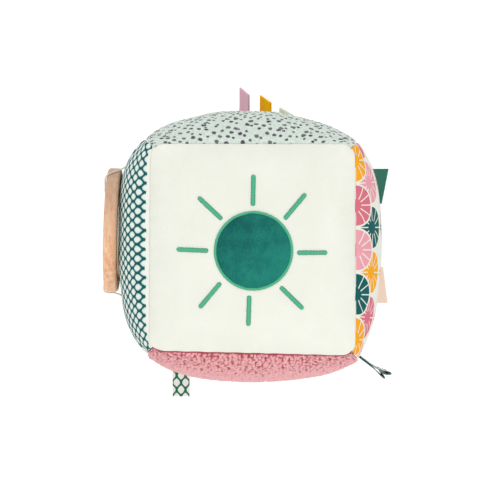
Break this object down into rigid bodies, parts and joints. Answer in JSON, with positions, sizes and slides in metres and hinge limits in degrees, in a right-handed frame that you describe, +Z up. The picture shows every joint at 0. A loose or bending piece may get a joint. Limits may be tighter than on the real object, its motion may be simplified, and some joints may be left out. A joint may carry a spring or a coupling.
{
  "type": "soft fabric activity block",
  "caption": "Soft stuffed cube for a baby, with an embroidered sun, patterned fabric panels, a wooden ring in thread loops, ribbon tabs and a rattle inside.",
  "frame": {"origin": "middle of the flat patch under the back panel, on which the block rests", "axes": "+Z up, out of the sun panel; +Y out of the dotted panel; +X out of the scallop panel, so the wooden ring hangs on the -X side"},
  "size_m": [0.1678, 0.1828, 0.1466],
  "materials": {
    "cream_velvet": "short-pile velvet",
    "dotted_plush": "short plush with dark grey dots",
    "teddy_fleece": "curly teddy fleece",
    "net_cotton": "woven cotton with a teal net print",
    "scallop_cotton": "woven cotton with a scallop print",
    "fibre": "loose polyester fibre",
    "rattle_plastic": "moulded",
    "bead_steel": "polished",
    "disc_velvet": "teal velvet",
    "satin_stitch": "satin-stitched thread",
    "beech": "sanded, untreated",
    "thread": "twisted cotton thread",
    "mauve_ribbon": "ribbed ribbon",
    "mustard_ribbon": "ribbed ribbon",
    "mint_ribbon": "satin ribbon",
    "green_ribbon": "ribbed ribbon",
    "peach_ribbon": "satin ribbon",
    "net_ribbon": "cotton tape with a teal net print"
  },
  "bodies": {
    "block": {"sun_panel": "cream_velvet", "back_panel": "cream_velvet", "dotted_panel": "dotted_plush", "teddy_panel": "teddy_fleece", "net_panel": "net_cotton", "scallop_panel": "scallop_cotton", "filling_front": "fibre", "filling_back": "fibre", "rattle_cup": "rattle_plastic", "rattle_lid": "rattle_plastic", "sun_disc": "disc_velvet", "sun_border": "satin_stitch", "sun_ray_1": "satin_stitch", "sun_ray_2": "satin_stitch", "sun_ray_3": "satin_stitch", "sun_ray_4": "satin_stitch", "sun_ray_5": "satin_stitch", "sun_ray_6": "satin_stitch", "sun_ray_7": "satin_stitch", "sun_ray_8": "satin_stitch"},
    "beads": {"rattle_bead_1": "bead_steel", "rattle_bead_2": "bead_steel", "rattle_bead_3": "bead_steel", "rattle_bead_4": "bead_steel", "rattle_bead_5": "bead_steel"},
    "ring_loops": {"upper_ring_loop": "thread", "lower_ring_loop": "thread"},
    "ring": {"wooden_ring": "beech"},
    "mauve_ribbon": {"mauve_tab": "mauve_ribbon"},
    "mustard_ribbon": {"mustard_tab": "mustard_ribbon"},
    "mint_ribbon": {"mint_tab": "mint_ribbon"},
    "green_ribbon": {"green_tab": "green_ribbon"},
    "peach_ribbon": {"peach_tab": "peach_ribbon"},
    "net_ribbon": {"net_tab": "net_ribbon"},
    "corner_ribbon": {"corner_tab": "net_ribbon"}
  },
  "joints": [
    {"name": "rattle_shake", "type": "slide", "parent": "block", "child": "beads", "axis": [0, 0, 1], "range_m": [0, 0.018]},
    {"name": "ring_pull", "type": "slide", "parent": "block", "child": "ring_loops", "axis": [-0.9995, 0.0314, 0], "range_m": [0, 0.004]},
    {"name": "ring_turn", "type": "hinge", "parent": "ring_loops", "child": "ring", "pos_m": [-0.07865, 0.0107, 0.0725], "axis": [-0.9995, 0.0314, 0], "continuous": true},
    {"name": "mauve_flex", "type": "hinge", "parent": "block", "child": "mauve_ribbon", "pos_m": [-0.0044, 0.0574, 0.016], "axis": [1, 0, 0], "range_deg": [-25, 25], "stiffness_Nm_per_rad": 0.0005},
    {"name": "mustard_flex", "type": "hinge", "parent": "block", "child": "mustard_ribbon", "pos_m": [0.008, 0.0574, 0.016], "axis": [1, 0, 0], "range_deg": [-25, 25], "stiffness_Nm_per_rad": 0.0005},
    {"name": "mint_flex", "type": "hinge", "parent": "block", "child": "mint_ribbon", "pos_m": [0.02, 0.0574, 0.016], "axis": [1, 0, 0], "range_deg": [-25, 25], "stiffness_Nm_per_rad": 0.0005},
    {"name": "green_flex", "type": "hinge", "parent": "block", "child": "green_ribbon", "pos_m": [0.0557, 0.037, 0.016], "axis": [0, -1, 0], "range_deg": [-20, 30], "stiffness_Nm_per_rad": 0.0005},
    {"name": "peach_flex", "type": "hinge", "parent": "block", "child": "peach_ribbon", "pos_m": [0.0557, -0.0215, 0.016], "axis": [0, -1, 0], "range_deg": [-15, 35], "stiffness_Nm_per_rad": 0.0005},
    {"name": "net_flex", "type": "hinge", "parent": "block", "child": "net_ribbon", "pos_m": [-0.042, -0.0574, 0.016], "axis": [-1, 0, 0], "range_deg": [-15, 35], "stiffness_Nm_per_rad": 0.0005},
    {"name": "corner_flex", "type": "hinge", "parent": "block", "child": "corner_ribbon", "pos_m": [0.0564, -0.0581, 0.0245], "axis": [0, 0, 1], "range_deg": [-25, 25], "stiffness_Nm_per_rad": 0.0005}
  ]
}
